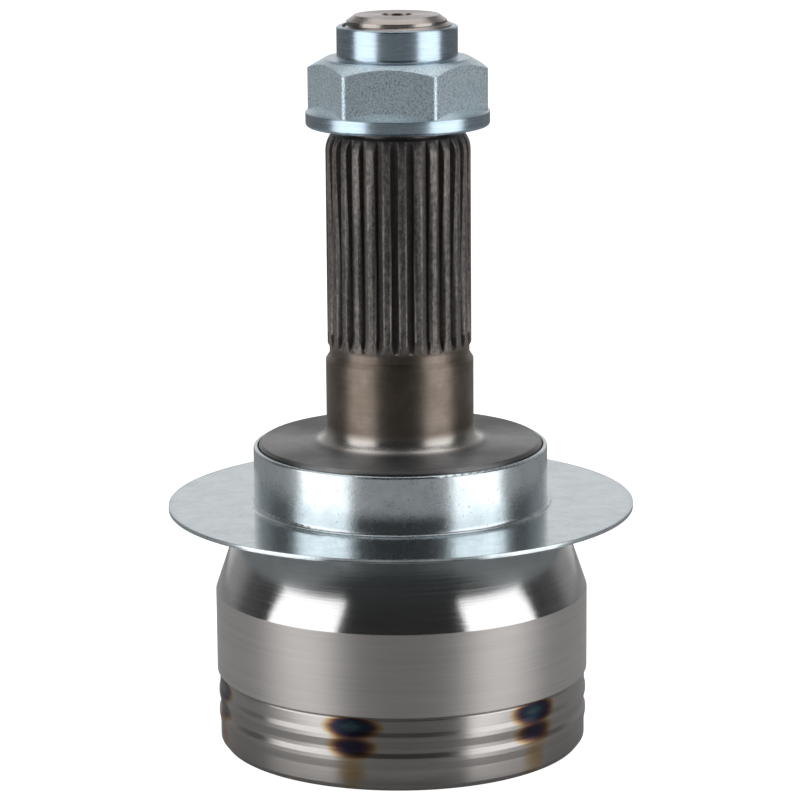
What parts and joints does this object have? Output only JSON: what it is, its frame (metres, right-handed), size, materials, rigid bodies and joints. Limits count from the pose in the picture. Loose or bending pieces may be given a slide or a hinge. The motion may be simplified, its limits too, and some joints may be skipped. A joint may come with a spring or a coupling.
{
  "type": "constant velocity joint",
  "caption": "Fixed-centre ball constant-velocity joint: splined stub axle with flanged hexagon nut, pressed dust shield, grooved bell, ball cage and splined inner race.",
  "frame": {"origin": "centre of the bell's mouth, in the plane of the rim it stands on", "axes": "+Z along the stub axle, away from the mouth; +X along the axis the joint bends about, through two of the balls"},
  "size_m": [0.0958, 0.0958, 0.1506],
  "materials": {
    "turned_steel": "bare forged steel: finely turned on the bell, dark and dry on the shoulder and stub, heat-tinted at the ball tracks",
    "zinc_sheet": "pressed sheet, pale blue zinc plate, satin",
    "zinc_nut": "blue-passivated zinc plate over turned and grained steel",
    "ground_steel": "ground and hardened steel with a thin oil film",
    "cage_steel": "hardened steel, dark satin",
    "ball_steel": "polished bearing steel",
    "spring_steel": "drawn spring steel wire"
  },
  "bodies": {
    "outer_race": {"outer_race": "turned_steel", "dust_shield": "zinc_sheet"},
    "axle_nut": {"axle_nut": "zinc_nut"},
    "inner_race": {"inner_race": "ground_steel", "snap_ring": "spring_steel"},
    "cage": {"cage": "cage_steel", "ball_1": "ball_steel", "ball_4": "ball_steel"},
    "ball_2": {"ball_2": "ball_steel"},
    "ball_3": {"ball_3": "ball_steel"},
    "ball_5": {"ball_5": "ball_steel"},
    "ball_6": {"ball_6": "ball_steel"}
  },
  "joints": [
    {"name": "articulation", "type": "hinge", "parent": "outer_race", "child": "inner_race", "pos_m": [0, 0, 0.017], "axis": [1, 0, 0], "range_deg": [-45, 45]},
    {"name": "cage_tilt", "type": "hinge", "parent": "outer_race", "child": "cage", "pos_m": [0, 0, 0.017], "axis": [1, 0, 0], "range_deg": [-22.6, 22.6]},
    {"name": "ball_2_roll", "type": "hinge", "parent": "outer_race", "child": "ball_2", "pos_m": [0, 0, 0.0147], "axis": [0.866, -0.5, 0], "range_deg": [-19.8, 19.8]},
    {"name": "ball_3_roll", "type": "hinge", "parent": "outer_race", "child": "ball_3", "pos_m": [0, 0, 0.0147], "axis": [0.866, 0.5, 0], "range_deg": [-19.8, 19.8]},
    {"name": "ball_5_roll", "type": "hinge", "parent": "outer_race", "child": "ball_5", "pos_m": [0, 0, 0.0147], "axis": [-0.866, 0.5, 0], "range_deg": [-19.8, 19.8]},
    {"name": "ball_6_roll", "type": "hinge", "parent": "outer_race", "child": "ball_6", "pos_m": [0, 0, 0.0147], "axis": [-0.866, -0.5, 0], "range_deg": [-19.8, 19.8]},
    {"name": "nut_off", "type": "slide", "parent": "outer_race", "child": "axle_nut", "axis": [0, 0, 1], "range_m": [0, 0.03]}
  ],
  "couplings": [
    {"joint": "cage_tilt", "follows": "articulation", "ratio": 0.5},
    {"joint": "ball_2_roll", "follows": "articulation", "ratio": 0.4388},
    {"joint": "ball_3_roll", "follows": "articulation", "ratio": 0.4388},
    {"joint": "ball_5_roll", "follows": "articulation", "ratio": -0.4388},
    {"joint": "ball_6_roll", "follows": "articulation", "ratio": -0.4388}
  ]
}
